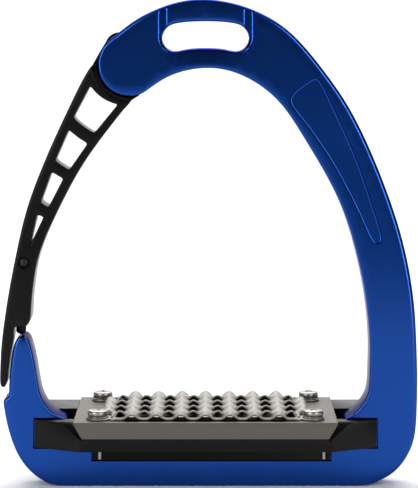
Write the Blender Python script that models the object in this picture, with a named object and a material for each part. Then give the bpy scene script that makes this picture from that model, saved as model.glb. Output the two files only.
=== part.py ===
"""Safety stirrup iron with a release arm.

A forged bow frame ends on the rider's outer side in a forked knuckle above and a
short horn below.  The moulded arm hangs on a pin in the knuckle and is held on the
horn by a sprung plunger, so it swings outwards and lets a foot go.  A two-part
carrier clamps the foot bar and holds the pressed tray and the toothed tread plate.

Lengths below are millimetres; MM turns them into Blender's metres.
X runs along the foot bar, Y through the stirrup (front is -Y), Z is up.
The origin is on the underside of the foot bar, below the middle of the leather slot.
"""

import math

import bmesh
import bpy
from mathutils import Matrix, Vector

MM = 0.001
FIT = 0.3           # gap between pieces that touch
PIN_FIT = 0.12      # gap round a pin in its hole

# Bow frame
TOP_HALF = 6.0      # half thickness of the arch
BASE_HALF = 7.5     # half thickness of the foot bar
TOP_FROM = 122.0    # the arch is thin from this height up
BASE_TO = 50.0      # the legs are thick from this height down
BAR_TOP = 16.4      # top of the foot bar between the shoulders
SHOULDER_TOP = 23.9
SHOULDER_X = 48.0
SLOT_HALF = 15.1    # leather slot
GROOVE_DEPTH = 2.4  # the arch is thinned above the slot
PANEL_DEPTH = 0.5   # sunk panel on the solid leg
POCKET_DEPTH = 1.2  # seat of the carrier in the frame's faces

# Knuckle and hinge of the release arm
KNUCKLE = (-26.29, 147.54)
KNUCKLE_R = 10.9
HINGE = (-29.83, 153.74)
EYE_R = 4.9
FORK_HALF = 3.4     # half of the gap between the knuckle's two cheeks
LUG_HALF = 2.2
HINGE_PIN_R = 2.0
BUSH_R = 2.9
LUG_EDGE_DEG = 158.0   # where the lug's outer edge leaves the eye, arm closed
OPEN_DEG = 75.0        # how far the arm swings outwards
FORK_SPARE_DEG = 13.0  # room left between the lug and the fork, arm open
HINGE_PIN_FRONT = -4.8
HINGE_PIN_REAR = 5.7
THRUST_WASHER_R = 3.9

# Release arm and its catch
SADDLE_R = KNUCKLE_R + FIT
SADDLE_HALF = 4.4
ARM_FACE_R = 12.8   # the arm's full thickness starts this far from the knuckle's centre
ARM_SLIM = 0.15     # how much thinner than the frame the arm is on each face
PLUNGER_TOP = (-63.34, 75.92)
PLUNGER_TIP = (-64.90, 52.98)
PLUNGER_R = 1.25
NOSE_R = 1.75
NOSE_LENGTH = 4.4
PLUNGER_LENGTH = 13.0
SPRING_LOW = 13.25     # measured up the plunger's axis from its tip
SPRING_HIGH = 21.6
CATCH_BORE_R = 1.5
CATCH_BORE_DEPTH = 22.9
NOSE_BORE_R = 2.0
NOSE_BORE_DEPTH = 7.6
CROSS_PIN = (-63.27, 78.82)
CROSS_PIN_R = 1.6
CROSS_PIN_HALF = 6.5

# Footbed
CARRIER_END = 60.0
FRONT_FACE_X = 43.8    # where a wing meets the straight face
FRONT_FACE_Y = 16.5
REAR_FACE_X = 57.5
REAR_FACE_Y = 25.2
CARRIER_LOW = 13.9
CARRIER_LIP = 19.9
SADDLE_HALF_X = 44.8
SHELF_LOW = 18.6
SHELF_HALF_X = 42.0
SHELF_Y = 23.6
FRONT_WING_TOP = 23.8
REAR_WING_TOP = 25.2
BAND_LOW = 9.5
BAND_LEFT = -39.8
BAND_RIGHT = 43.9
TRAY_TOP = 26.0
TRAY_SHEET = 1.5
DECK_GAP = 0.2      # between the tray's deck and the carrier
TRAY_HALF_X = 45.3
TRAY_FOOT_X = 42.3
TRAY_HALF_Y = 26.1
TRAY_LOW = 20.3
WINDOW_X = 28.0
WINDOW_Y = 23.6
PLATE_HALF_X = 33.3
PLATE_HALF_Y = 22.8
PLATE_LOW = 26.15
PLATE_SHEET = 0.8
EAR_SHEET = 0.55
EAR_R = 4.1
TOOTH_ROWS = 9
TOOTH_HEIGHT = 2.3
SCREW_X = 37.1
SCREW_Y = 18.8
SCREW_HEAD_R = 3.5
SCREW_R = 1.5
SCREW_LOW = 18.9
WASHER_R = 3.7
WASHER_SHEET = 0.4
INSERT_R = 2.6
INSERT_TOP = 23.9
INSERT_LOW = 19.6
STAY_PIN_R = 0.65
STAY_PIN_LOW = 9.6
STAY_PIN_TOP = 17.3
STAY_PIN_LEFT = -37.0
STAY_PIN_RIGHT = 41.4
STAY_PIN_Y = 8.4

ROUND = 32          # sides of a round piece
SMALL_ROUND = 20


def clear_scene():
    """Start from nothing."""
    for thing in list(bpy.data.objects):
        bpy.data.objects.remove(thing)


def material(name, colour, rough, metal):
    """One plain Principled material."""
    made = bpy.data.materials.new(name)
    made.use_nodes = True
    shader = made.node_tree.nodes["Principled BSDF"]
    shader.inputs["Base Color"].default_value = (*colour, 1.0)
    shader.inputs["Roughness"].default_value = rough
    shader.inputs["Metallic"].default_value = metal
    return made


def arc(centre, radius, start, stop, steps):
    """Points on a circle from one angle to another, in degrees from +X towards +Z."""
    turn = [math.radians(start + (stop - start) * i / steps) for i in range(steps + 1)]
    return [(centre[0] + radius * math.cos(a), centre[1] + radius * math.sin(a)) for a in turn]


def curve(points, steps=4, closed=False):
    """A smooth Catmull-Rom curve through the points."""
    count = len(points)
    pick = (lambda i: points[i % count]) if closed else (lambda i: points[min(max(i, 0), count - 1)])
    out = []
    for i in range(count if closed else count - 1):
        a, b, c, d = pick(i - 1), pick(i), pick(i + 1), pick(i + 2)
        for k in range(steps):
            t = k / steps
            out.append(tuple(
                0.5 * (2 * b[n] + (c[n] - a[n]) * t + (2 * a[n] - 5 * b[n] + 4 * c[n] - d[n]) * t ** 2
                       + (3 * b[n] - a[n] - 3 * c[n] + d[n]) * t ** 3) for n in (0, 1)))
    return out if closed else out + [points[-1]]


def mirrored(points):
    """The points again on the other side of X = 0, in reverse order."""
    return [(-x, z) for x, z in reversed(points)]


def finish_mesh(name, mesh_edit, surface=None):
    """Turn a bmesh in millimetres into a named object in metres."""
    bmesh.ops.recalc_face_normals(mesh_edit, faces=mesh_edit.faces)
    mesh_edit.transform(Matrix.Scale(MM, 4))
    mesh = bpy.data.meshes.new(name)
    mesh_edit.to_mesh(mesh)
    mesh_edit.free()
    made = bpy.data.objects.new(name, mesh)
    bpy.context.collection.objects.link(made)
    if surface:
        mesh.materials.append(surface)
    return made


def prism(name, outline, low, high, axis="Y", surface=None):
    """An outline pushed along an axis: (x, z) along Y, (y, z) along X, (x, y) along Z."""
    place = {"Y": lambda a, b, t: (a, t, b),
             "X": lambda a, b, t: (t, a, b),
             "Z": lambda a, b, t: (a, b, t)}[axis]
    edit = bmesh.new()
    near = [edit.verts.new(place(a, b, low)) for a, b in outline]
    far = [edit.verts.new(place(a, b, high)) for a, b in outline]
    edit.faces.new(near)
    edit.faces.new(far)
    for i in range(len(outline)):
        j = (i + 1) % len(outline)
        edit.faces.new((near[i], near[j], far[j], far[i]))
    return finish_mesh(name, edit, surface)


def turned(name, profile, surface=None, sides=ROUND, base=(0.0, 0.0, 0.0), direction=(0.0, 0.0, 1.0)):
    """A closed (radius, height) profile spun round an axis; a zero radius closes the end."""
    edit = bmesh.new()
    rings = []
    for radius, height in profile:
        if radius == 0.0:
            rings.append([edit.verts.new((0.0, 0.0, height))])
        else:
            rings.append([edit.verts.new((radius * math.cos(2 * math.pi * k / sides),
                                          radius * math.sin(2 * math.pi * k / sides), height))
                          for k in range(sides)])
    hollow = profile[0][0] > 0.0
    pairs = list(zip(rings, rings[1:])) + ([(rings[-1], rings[0])] if hollow else [])
    for one, two in pairs:
        for k in range(sides):
            n = (k + 1) % sides
            if len(one) == 1:
                edit.faces.new((one[0], two[k], two[n]))
            elif len(two) == 1:
                edit.faces.new((one[k], one[n], two[0]))
            else:
                edit.faces.new((one[k], one[n], two[n], two[k]))
    turn = Vector((0, 0, 1)).rotation_difference(Vector(direction)).to_matrix().to_4x4()
    edit.transform(Matrix.Translation(Vector(base)) @ turn)
    made = finish_mesh(name, edit, surface)
    made.data.shade_smooth()
    made.data.set_sharp_from_angle(angle=math.radians(35))
    return made


def rod(name, radius, low, high, surface=None, sides=SMALL_ROUND, base=(0.0, 0.0, 0.0),
        direction=(0.0, 0.0, 1.0)):
    """A plain round bar between two heights on its axis."""
    profile = [(0.0, low), (radius, low), (radius, high), (0.0, high)]
    return turned(name, profile, surface, sides, base, direction)


def boolean(target, tool, operation):
    """Leave a live Boolean on the target and hide its tool."""
    step = target.modifiers.new(tool.name, "BOOLEAN")
    step.object = tool
    step.operation = operation
    step.solver = "EXACT"
    tool.hide_render = True
    tool.display_type = "WIRE"


def cut(target, tool):
    boolean(target, tool, "DIFFERENCE")


def add(target, tool):
    boolean(target, tool, "UNION")


def keep(target, tool):
    boolean(target, tool, "INTERSECT")


def side_profile(name, slim=0.0):
    """Thickness seen from the side: thin arch, thick foot, joined by a smooth swell."""
    steps = 8
    edge = [(BASE_HALF - slim, -5.0), (BASE_HALF - slim, BASE_TO)]
    for k in range(1, steps + 1):
        t = k / steps
        half = BASE_HALF + (TOP_HALF - BASE_HALF) * (3 * t ** 2 - 2 * t ** 3) - slim
        edge.append((half, BASE_TO + (TOP_FROM - BASE_TO) * t))
    edge.append((TOP_HALF - slim, 180.0))
    return prism(name, edge + [(-y, z) for y, z in reversed(edge)], -90.0, 90.0, "X")


# ---------------------------------------------------------------- bow frame

def bow_outline():
    """Front outline: knuckle, inside of the arch, foot bar, horn, then the outside back to the knuckle."""
    knuckle = arc(KNUCKLE, KNUCKLE_R, 124.0, 297.0, 20)
    inside = curve([knuckle[-1], (-11.9, 144.1), (1.2, 146.6), (12.9, 143.9), (24.5, 135.9), (34.0, 122.5),
                    (46.9, 99.5), (54.2, 75.4), (57.3, 53.8), (57.3, 37.7), (55.4, 29.6), (51.9, 25.5),
                    (SHOULDER_X, SHOULDER_TOP)])
    notch = [(SHOULDER_X, BAR_TOP), (-SHOULDER_X, BAR_TOP)]
    horn = curve([(-SHOULDER_X, SHOULDER_TOP), (-52.2, 24.9), (-55.6, 28.1), (-58.1, 32.7), (-60.4, 44.5),
                  (-62.2, 51.4), (-64.3, 53.1), (-66.3, 51.4), (-67.9, 41.7), (-68.5, 32.6)], 3)
    ledge = [(-69.0, 31.6), (-70.4, 30.8)]
    corner = curve([(-70.7, 29.1), (-68.7, 19.9), (-66.4, 13.7), (-63.1, 8.0), (-58.5, 3.2), (-51.3, 0.0)], 3)
    outside = curve([(54.3, 0.0), (62.6, 3.2), (69.5, 9.5), (73.2, 16.6), (74.2, 25.5), (74.0, 42.7),
                     (72.7, 64.9), (68.9, 85.4), (62.0, 106.3), (52.6, 127.5), (43.0, 142.7), (29.1, 158.9),
                     (15.2, 167.0), (1.2, 170.2), (-8.9, 169.4), (-15.8, 167.3), (-23.9, 163.4), knuckle[0]])
    return knuckle[:-1] + inside + notch + horn + ledge + corner + outside[:-1]


def leather_slot():
    """Kidney-shaped slot for the stirrup leather."""
    half = [(0.0, 162.4), (7.9, 162.0), (12.8, 160.7), (SLOT_HALF, 157.0), (14.0, 153.7), (10.9, 152.0),
            (5.9, 152.9)]
    outline = curve(half + [(0.0, 153.2)] + mirrored(half[1:]), 3, closed=True)
    return prism("leather_slot_cutter", outline, -12.0, 12.0)


def leather_groove(front):
    """Sunk flat above the slot, with sloped ends, that the leather turns round."""
    outer, inner, far = 16.1, 13.4, 12.0
    floor = TOP_HALF - GROOVE_DEPTH
    outline = [(-outer, TOP_HALF), (-inner, floor), (inner, floor), (outer, TOP_HALF),
               (outer, far), (-outer, far)]
    outline = [(x, y * front) for x, y in outline]
    return prism(f"leather_groove_cutter_{'front' if front < 0 else 'rear'}", outline, 157.0, 180.0, "Z")


def leg_panel(front):
    """Shallow sunk panel that follows the solid leg."""
    outline = curve([(29.1, 136.0), (31.3, 138.8), (35.2, 141.7), (38.2, 143.3), (40.5, 140.7), (47.4, 126.3),
                     (52.8, 114.0), (58.0, 99.1), (61.4, 87.9), (60.3, 85.2), (57.6, 86.4), (51.9, 98.7),
                     (43.6, 114.0), (35.6, 125.7), (29.9, 133.0)], 2, closed=True)
    panel = prism(f"leg_panel_cutter_{'front' if front < 0 else 'rear'}", outline, -12.0, 12.0)
    core = side_profile(f"leg_panel_floor_{'front' if front < 0 else 'rear'}", PANEL_DEPTH)
    cut(panel, core)
    reach = [(0.0, 60.0), (80.0, 60.0), (80.0, 160.0), (0.0, 160.0)]
    low, high = sorted((0.0, 13.0 * front))
    keep(panel, prism(f"leg_panel_side_{'front' if front < 0 else 'rear'}", reach, low, high))
    return panel


def fork_gap():
    """Gap between the knuckle's cheeks, shaped to the sweep of the arm's lug."""
    far = 24.0
    web = -57.4
    top = LUG_EDGE_DEG - OPEN_DEG - FORK_SPARE_DEG
    floor = arc(HINGE, EYE_R + FIT, web, top, 12)
    ends = [arc(HINGE, far, a, a, 1)[0] for a in (web, top)]
    outline = floor + [ends[1], (-62.0, ends[1][1]), (-62.0, 124.0), ends[0]]
    return prism("fork_gap_cutter", outline, -FORK_HALF, FORK_HALF)


def carrier_seat(front):
    """Sunk seat for the carrier on one face of the foot bar."""
    floor = BASE_HALF - POCKET_DEPTH
    edge = FIT
    top = (FRONT_WING_TOP if front < 0 else REAR_WING_TOP) + edge
    outline = [(-CARRIER_END - edge, CARRIER_LOW - edge), (BAND_LEFT - edge, CARRIER_LOW - edge),
               (BAND_LEFT - edge, BAND_LOW - edge), (BAND_RIGHT + edge, BAND_LOW - edge),
               (BAND_RIGHT + edge, CARRIER_LOW - edge), (CARRIER_END + edge, CARRIER_LOW - edge),
               (CARRIER_END + edge, top), (-CARRIER_END - edge, top)]
    low, high = sorted((floor * front, 12.0 * front))
    return prism(f"carrier_seat_cutter_{'front' if front < 0 else 'rear'}", outline, low, high)


def bow_frame(surface):
    frame = prism("bow_frame", bow_outline(), -14.0, 14.0, surface=surface)
    keep(frame, side_profile("frame_side_profile"))
    cut(frame, leather_slot())
    for front in (-1, 1):
        cut(frame, leather_groove(front))
        cut(frame, leg_panel(front))
        cut(frame, carrier_seat(front))
    cut(frame, fork_gap())
    bore = HINGE_PIN_R + PIN_FIT
    cut(frame, rod("hinge_bore_cutter", bore, -5.0, 9.0, sides=ROUND,
                   base=(HINGE[0], 0.0, HINGE[1]), direction=(0, 1, 0)))
    dish = [(0.0, -0.55), (3.0, 0.15), (3.0, 5.0), (0.0, 5.0)]
    cut(frame, turned("catch_dish_cutter", dish, sides=24,
                      base=(PLUNGER_TIP[0], 0.0, PLUNGER_TIP[1]), direction=plunger_axis()))
    return frame


# ---------------------------------------------------------------- release arm

def plunger_axis():
    """Unit direction from the plunger's nose up the arm."""
    top, tip = (Vector((x, 0.0, z)) for x, z in (PLUNGER_TOP, PLUNGER_TIP))
    return (top - tip).normalized()


def arm_body_outline():
    """Outer edge down to the tongue, the end over the horn, then the inner edge back up."""
    outer = curve([(-37.7, 150.3), (-41.8, 143.7), (-48.2, 130.8), (-55.9, 114.0), (-62.5, 96.3), (-67.3, 75.2),
                   (-69.9, 60.5), (-71.4, 48.9), (-71.9, 39.2), (-71.5, 35.8), (-70.7, 35.1), (-69.9, 35.8)])
    tongue = [(-69.8, 37.7), (-68.3, 47.8), (-67.1, 55.5), (-66.5, 56.5), (-62.5, 56.5), (-61.4, 57.8)]
    inner = curve([(-60.8, 59.9), (-60.4, 67.3), (-58.0, 81.3), (-51.2, 97.2), (-41.9, 114.0), (-29.7, 130.3),
                   (-24.7, 135.7), (-21.8, 138.2)])
    return outer + tongue + inner + [(-27.7, 146.5)]


def arm_windows():
    """Four openings between the rails; their cross edges follow circles round the knuckle."""
    corners = [[(-39.8, 140.2), (-45.6, 129.3), (-38.5, 124.0), (-30.4, 133.8)],
               [(-47.3, 125.0), (-52.0, 114.4), (-47.3, 111.2), (-40.9, 120.3)],
               [(-53.3, 110.4), (-57.2, 99.9), (-54.6, 98.2), (-49.4, 108.1)]]
    made = []
    for n, (top_out, low_out, low_in, top_in) in enumerate(corners):
        outline = ring_edge(top_in, top_out) + ring_edge(low_out, low_in)
        made.append(prism(f"arm_window_cutter_{n + 1}", outline, -12.0, 12.0))
    made.append(prism("arm_window_cutter_4", [(-58.5, 95.6), (-61.3, 84.5), (-56.3, 94.8)], -12.0, 12.0))
    return made


def ring_edge(start, stop):
    """An arc about the knuckle from one corner of a window to the next."""
    ends = [Vector((p[0] - KNUCKLE[0], p[1] - KNUCKLE[1])) for p in (start, stop)]
    angle = [math.degrees(math.atan2(v.y, v.x)) for v in ends]
    steps = 4
    points = []
    for k in range(steps + 1):
        t = k / steps
        radius = ends[0].length + (ends[1].length - ends[0].length) * t
        points += arc(KNUCKLE, radius, angle[0] + (angle[1] - angle[0]) * t, 0.0, 1)[:1]
    return points


def arm_saddle():
    """Hollow shoulder of the arm that lies under the knuckle."""
    outline = arc(KNUCKLE, SADDLE_R, 174.0, 287.0, 14) + [(-25.1, 135.5)] + arc(KNUCKLE, 14.1, 264.0, 196.0, 8)
    return prism("arm_saddle", outline, -SADDLE_HALF, SADDLE_HALF)


def arm_lug():
    """Flat lug with the hinge eye, which runs in the knuckle's fork."""
    outline = arc(HINGE, EYE_R, -58.0, LUG_EDGE_DEG, 18)
    outline += [(-36.8, 151.6), (-39.0, 147.7), (-41.4, 143.7)]
    outline += arc(KNUCKLE, 14.2, 205.0, 264.0, 6) + [(-25.1, 135.5), (-22.0, 138.2), (-21.2, 139.3)]
    return prism("arm_lug", outline, -LUG_HALF, LUG_HALF)


def release_arm(surface):
    arm = prism("release_arm", arm_body_outline(), -14.0, 14.0, surface=surface)
    keep(arm, side_profile("arm_side_profile", ARM_SLIM))
    cut(arm, rod("arm_knuckle_cutter", ARM_FACE_R, -20.0, 20.0, sides=64,
                 base=(KNUCKLE[0], 0.0, KNUCKLE[1]), direction=(0, 1, 0)))
    add(arm, arm_saddle())
    add(arm, arm_lug())
    for window in arm_windows():
        cut(arm, window)
    cut(arm, rod("eye_cutter", BUSH_R + PIN_FIT, -9.0, 9.0, sides=ROUND,
                 base=(HINGE[0], 0.0, HINGE[1]), direction=(0, 1, 0)))
    tip = (PLUNGER_TIP[0], 0.0, PLUNGER_TIP[1])
    bore = [(0.0, -2.0), (NOSE_BORE_R, -2.0), (NOSE_BORE_R, NOSE_BORE_DEPTH), (CATCH_BORE_R, NOSE_BORE_DEPTH),
            (CATCH_BORE_R, CATCH_BORE_DEPTH), (0.0, CATCH_BORE_DEPTH)]
    cut(arm, turned("catch_bore_cutter", bore, sides=SMALL_ROUND, base=tip, direction=plunger_axis()))
    cut(arm, rod("cross_pin_cutter", CROSS_PIN_R + PIN_FIT, -9.0, 9.0, sides=SMALL_ROUND,
                 base=(CROSS_PIN[0], 0.0, CROSS_PIN[1]), direction=(0, 1, 0)))
    return arm


def hinge_parts(steel, bronze, plastic):
    """Pin fixed in the fork, bush pressed in the eye, and a thrust washer on each side of the lug."""
    base = (HINGE[0], 0.0, HINGE[1])
    along = (0, 1, 0)
    rod("hinge_pin", HINGE_PIN_R, HINGE_PIN_FRONT, HINGE_PIN_REAR, steel, ROUND, base, along)
    inner = HINGE_PIN_R + PIN_FIT
    turned("hinge_bush", [(inner, -LUG_HALF), (BUSH_R, -LUG_HALF), (BUSH_R, LUG_HALF), (inner, LUG_HALF)],
           bronze, ROUND, base, along)
    for name, low in (("thrust_washer_front", -FORK_HALF + PIN_FIT), ("thrust_washer_rear", LUG_HALF + FIT)):
        high = low + FORK_HALF - LUG_HALF - FIT - PIN_FIT
        ring = [(inner, low), (THRUST_WASHER_R, low), (THRUST_WASHER_R, high), (inner, high)]
        turned(name, ring, plastic, ROUND, base, along)


def catch_parts(steel, surface):
    """Sprung plunger in the arm's lower end, its spring, and the cross pin the spring pushes on."""
    tip = (PLUNGER_TIP[0], 0.0, PLUNGER_TIP[1])
    along = plunger_axis()
    nose = [(0.0, 0.0), (0.9, 0.1), (NOSE_R, 0.5), (NOSE_R, NOSE_LENGTH), (PLUNGER_R, NOSE_LENGTH + 0.4),
            (PLUNGER_R, PLUNGER_LENGTH), (0.0, PLUNGER_LENGTH)]
    turned("catch_plunger", nose, surface, SMALL_ROUND, tip, along)
    coil_spring("catch_spring", steel, tip, along, SPRING_LOW, SPRING_HIGH)
    rod("catch_cross_pin", CROSS_PIN_R, -CROSS_PIN_HALF, CROSS_PIN_HALF, steel, SMALL_ROUND,
        (CROSS_PIN[0], 0.0, CROSS_PIN[1]), (0, 1, 0))


def coil_spring(name, surface, base, direction, low, high):
    """Round wire wound on a helix, with its two ends closed."""
    turns, per_turn, sides = 6, 10, 6
    coil_r, wire_r = 0.95, 0.25
    steps = turns * per_turn
    rise = (high - low - 2 * wire_r) / steps
    edit = bmesh.new()
    rings = []
    for i in range(steps + 1):
        a = 2 * math.pi * i / per_turn
        out = Vector((math.cos(a), math.sin(a), 0.0))
        middle = out * coil_r + Vector((0.0, 0.0, low + wire_r + rise * i))
        around = [2 * math.pi * k / sides for k in range(sides)]
        rings.append([edit.verts.new(middle + out * (wire_r * math.cos(b)) + Vector((0, 0, wire_r * math.sin(b))))
                      for b in around])
    for one, two in zip(rings, rings[1:]):
        for k in range(sides):
            n = (k + 1) % sides
            edit.faces.new((one[k], one[n], two[n], two[k]))
    edit.faces.new(rings[0])
    edit.faces.new(rings[-1])
    turn = Vector((0, 0, 1)).rotation_difference(Vector(direction)).to_matrix().to_4x4()
    edit.transform(Matrix.Translation(Vector(base)) @ turn)
    return finish_mesh(name, edit, surface)


# ---------------------------------------------------------------- footbed

def carrier_plan(side, face_x, face_y):
    """Plan of a carrier half: flush with the frame at its ends, full depth under the tray."""
    back = BASE_HALF - POCKET_DEPTH + FIT
    half = [(CARRIER_END, back), (CARRIER_END, BASE_HALF + 0.2), (face_x, face_y)]
    outline = half + [(-x, y) for x, y in reversed(half)]
    return [(x, y * side) for x, y in outline]


def block(name, half_x, near, far, low, high):
    """A plain rectangular piece, the same each side of X = 0."""
    outline = [(-half_x, near), (half_x, near), (half_x, far), (-half_x, far)]
    return prism(name, outline, low, high, "Z")


def carrier(name, side, face_x, face_y, wing_top, surface):
    """One half of the clamp round the foot bar, with wings that run out to the frame."""
    shell = prism(name, carrier_plan(side, face_x, face_y), CARRIER_LOW, wing_top, "Z", surface)
    deck = TRAY_TOP - TRAY_SHEET - DECK_GAP
    add(shell, block(f"{name}_saddle", SADDLE_HALF_X, 0.15 * side, 8.0 * side, BAR_TOP + FIT, deck))
    add(shell, block(f"{name}_shelf", SHELF_HALF_X, 7.5 * side, SHELF_Y * side, SHELF_LOW, deck - 0.1))
    low, high = sorted((side * (BASE_HALF - POCKET_DEPTH + FIT), side * (BASE_HALF + 0.9)))
    band = [(BAND_LEFT, BAND_LOW), (BAND_RIGHT, BAND_LOW), (BAND_RIGHT, 15.2), (BAND_LEFT, 15.2)]
    add(shell, prism(f"{name}_band", band, low, high))
    cut(shell, tray_room(f"{name}_tray_room", side))
    cut(shell, block(f"{name}_well", WINDOW_X, 9.5 * side, (SHELF_Y - 1.8) * side, SHELF_LOW + 1.2, 40.0))
    for x in (-SCREW_X, SCREW_X):
        hole = [(0.0, 10.0), (SCREW_R + 0.25, 10.0), (SCREW_R + 0.25, INSERT_LOW - 0.1),
                (INSERT_R + PIN_FIT, INSERT_LOW - 0.1), (INSERT_R + PIN_FIT, 30.0), (0.0, 30.0)]
        cut(shell, turned(f"{name}_screw_cutter_{'left' if x < 0 else 'right'}", hole, sides=24,
                          base=(x, side * SCREW_Y, 0.0)))
    for x in (STAY_PIN_LEFT, STAY_PIN_RIGHT):
        cut(shell, rod(f"{name}_stay_cutter_{'left' if x < 0 else 'right'}", STAY_PIN_R + PIN_FIT, 5.0,
                       STAY_PIN_TOP + 0.1, sides=16, base=(x, side * STAY_PIN_Y, 0.0)))
    return shell


def tray_room(name, side):
    """Space that the pressed tray takes: its deck above and its lip at the carrier's face."""
    deck = TRAY_TOP - TRAY_SHEET - DECK_GAP
    lip = TRAY_HALF_Y - TRAY_SHEET - FIT
    edge = TRAY_HALF_X + FIT
    outline = [(0.0, deck), (lip, deck), (lip, CARRIER_LIP), (40.0, CARRIER_LIP), (40.0, 40.0), (0.0, 40.0)]
    outline = [(y * side, z) for y, z in outline]
    return prism(name, outline, -edge, edge, "X")


def carrier_front(surface):
    """The front half; a sloped facet takes the top off each wing, deeper towards the tray."""
    shell = carrier("carrier_front", -1, FRONT_FACE_X, FRONT_FACE_Y, FRONT_WING_TOP, surface)
    for side, label in ((-1, "left"), (1, "right")):
        cut(shell, wing_facet(f"carrier_front_facet_{label}", side))
    return shell


def wing_facet(name, side):
    """Wedge above the plane through the wing's top edge and a falling ridge on its face."""
    edge_y, ridge_y = -BASE_HALF - 4.0, -FRONT_FACE_Y - 1.0
    far, near = side * (CARRIER_END + 4.0), side * (FRONT_FACE_X - 1.2)
    low = [(near, edge_y, FRONT_WING_TOP), (near, ridge_y, 16.8), (far, ridge_y, 20.6),
           (far, edge_y, FRONT_WING_TOP)]
    edit = bmesh.new()
    rings = [[edit.verts.new((x, y, z + lift)) for x, y, z in low] for lift in (0.0, 9.0)]
    for ring in rings:
        edit.faces.new((ring[0], ring[1], ring[2]))
        edit.faces.new((ring[0], ring[2], ring[3]))
    for i in range(4):
        j = (i + 1) % 4
        edit.faces.new((rings[0][i], rings[0][j], rings[1][j], rings[1][i]))
    return finish_mesh(name, edit)


def carrier_rear(surface):
    """The rear half, with flat-topped wings."""
    return carrier("carrier_rear", 1, REAR_FACE_X, REAR_FACE_Y, REAR_WING_TOP, surface)


def tread_tray(surface):
    """Pressed sheet tray: a deck with a window, and a lip with slanted ends front and rear."""
    deck = TRAY_TOP - TRAY_SHEET
    section = [(-TRAY_HALF_Y, TRAY_LOW), (-TRAY_HALF_Y + TRAY_SHEET, TRAY_LOW), (-TRAY_HALF_Y + TRAY_SHEET, deck),
               (TRAY_HALF_Y - TRAY_SHEET, deck), (TRAY_HALF_Y - TRAY_SHEET, TRAY_LOW), (TRAY_HALF_Y, TRAY_LOW),
               (TRAY_HALF_Y, TRAY_TOP), (-TRAY_HALF_Y, TRAY_TOP)]
    tray = prism("tread_tray", section, -60.0, 60.0, "X", surface)
    front = [(-TRAY_FOOT_X, TRAY_LOW - 0.001), (TRAY_FOOT_X, TRAY_LOW - 0.001), (TRAY_HALF_X, TRAY_TOP - 0.6),
             (TRAY_HALF_X, 30.0), (-TRAY_HALF_X, 30.0), (-TRAY_HALF_X, TRAY_TOP - 0.6)]
    keep(tray, prism("tray_front_outline", front, -40.0, 40.0))
    window = [(-WINDOW_X, -WINDOW_Y), (WINDOW_X, -WINDOW_Y), (WINDOW_X, WINDOW_Y), (-WINDOW_X, WINDOW_Y)]
    cut(tray, prism("tray_window_cutter", window, 10.0, 40.0, "Z"))
    for n, (x, y) in enumerate(screw_places()):
        cut(tray, rod(f"tray_hole_cutter_{n + 1}", SCREW_R + FIT, 10.0, 40.0, base=(x, y, 0.0)))
    return tray


def screw_places():
    """Front left, front right, rear left, rear right."""
    return [(x, y) for y in (-SCREW_Y, SCREW_Y) for x in (-SCREW_X, SCREW_X)]


def tooth_height(i, j, columns, rows):
    """Height of one point of the toothed grid: peaks on a chequered pattern, zero on the border."""
    if i in (0, columns) or j in (0, rows):
        return 0.0
    return TOOTH_HEIGHT if i % 2 == 0 and j % 2 == (1 if (i // 2) % 2 else 0) else 0.0


def tread_plate(surface):
    """Toothed steel plate: sharp teeth in staggered columns, and an ear under each screw."""
    half_x = PLATE_HALF_X
    columns, rows = 32, 2 * TOOTH_ROWS
    edit = bmesh.new()
    top = PLATE_LOW + PLATE_SHEET
    grid = []
    for j in range(rows + 1):
        y = -PLATE_HALF_Y + 2 * PLATE_HALF_Y * j / rows
        across = [(-half_x + 2 * half_x * i / columns, tooth_height(i, j, columns, rows))
                  for i in range(columns + 1)]
        grid.append([edit.verts.new((x, y, top + height)) for x, height in across])
    for j in range(rows):
        for i in range(columns):
            quad = (grid[j][i], grid[j][i + 1], grid[j + 1][i + 1], grid[j + 1][i])
            edit.faces.new((quad[0], quad[1], quad[2]))
            edit.faces.new((quad[0], quad[2], quad[3]))
    border = grid[0] + [row[-1] for row in grid[1:-1]] + grid[-1][::-1] + [row[0] for row in grid[-2:0:-1]]
    low = [edit.verts.new((v.co.x, v.co.y, PLATE_LOW)) for v in border]
    for k in range(len(border)):
        n = (k + 1) % len(border)
        edit.faces.new((border[k], border[n], low[n], low[k]))
    edit.faces.new(low)
    plate = finish_mesh("tread_plate", edit, surface)
    for n, (x, y) in enumerate(screw_places()):
        side = 1 if x > 0 else -1
        root = half_x - 1.0
        outline = arc((abs(x), abs(y)), EAR_R, -75.0, 105.0, 12) + [(root, abs(y) + 3.2), (root, abs(y) - 6.0)]
        outline = [(px * side, py * (1 if y > 0 else -1)) for px, py in outline]
        add(plate, prism(f"plate_ear_{n + 1}", outline, PLATE_LOW + 0.05, PLATE_LOW + EAR_SHEET, "Z"))
        cut(plate, rod(f"plate_hole_cutter_{n + 1}", SCREW_R + FIT, 20.0, 40.0, base=(x, y, 0.0)))
    return plate


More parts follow.
